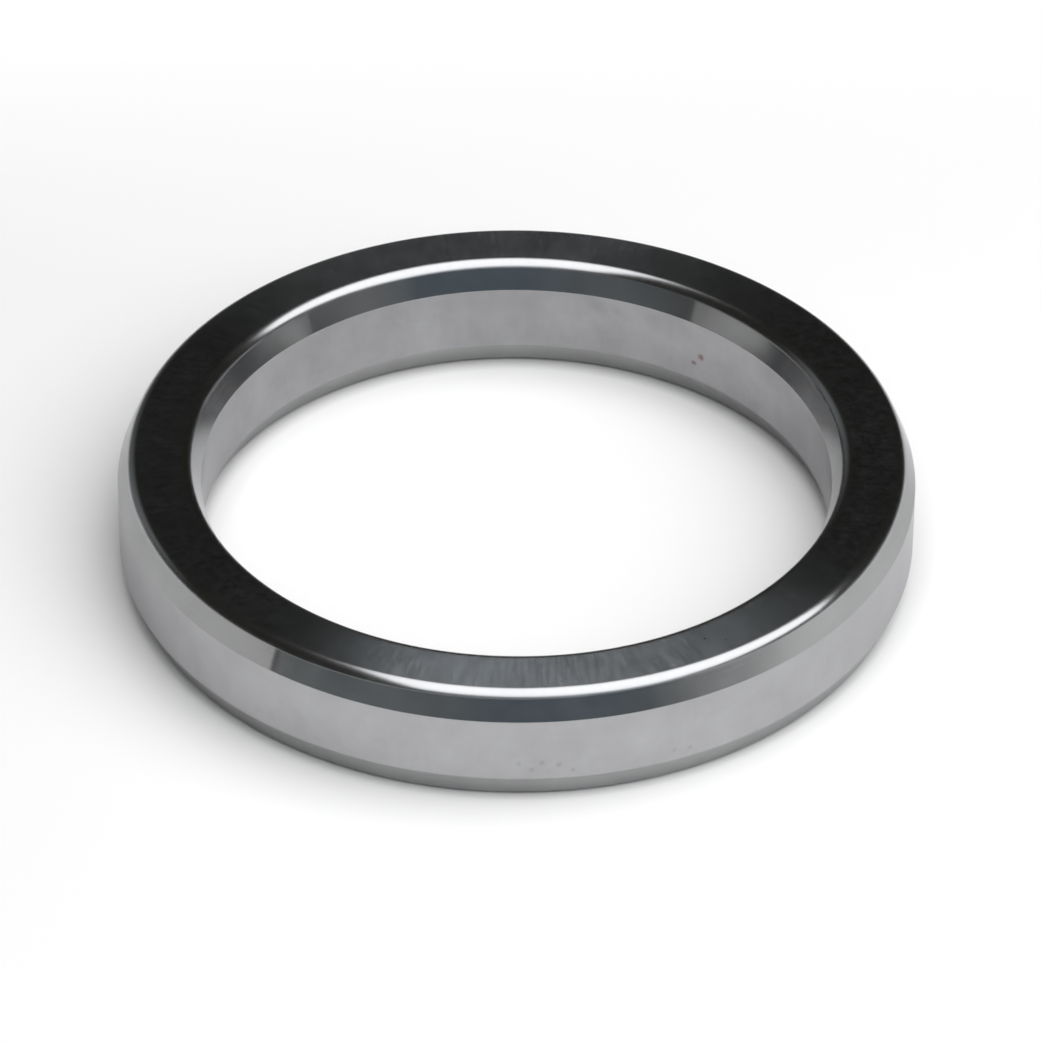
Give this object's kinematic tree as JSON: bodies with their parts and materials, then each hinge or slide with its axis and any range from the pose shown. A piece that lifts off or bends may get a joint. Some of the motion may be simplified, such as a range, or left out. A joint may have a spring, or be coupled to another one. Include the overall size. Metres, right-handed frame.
{
  "type": "ring joint gasket",
  "caption": "Solid steel ring with an octagonal section, whose sloping flanks wedge into the tapered grooves of a pair of pipe flanges and seal the joint metal to metal.",
  "frame": {"origin": "On the ring's axis, at the level of the lower flat on which it lies", "axes": "+Z is the ring's axis and points up; X and Y lie in the plane of the lower flat"},
  "size_m": [0.1064, 0.1064, 0.0168],
  "materials": {
    "steel": "fine turned stainless steel, bare"
  },
  "bodies": {
    "root": {"gasket_ring": "steel"}
  },
  "joints": []
}
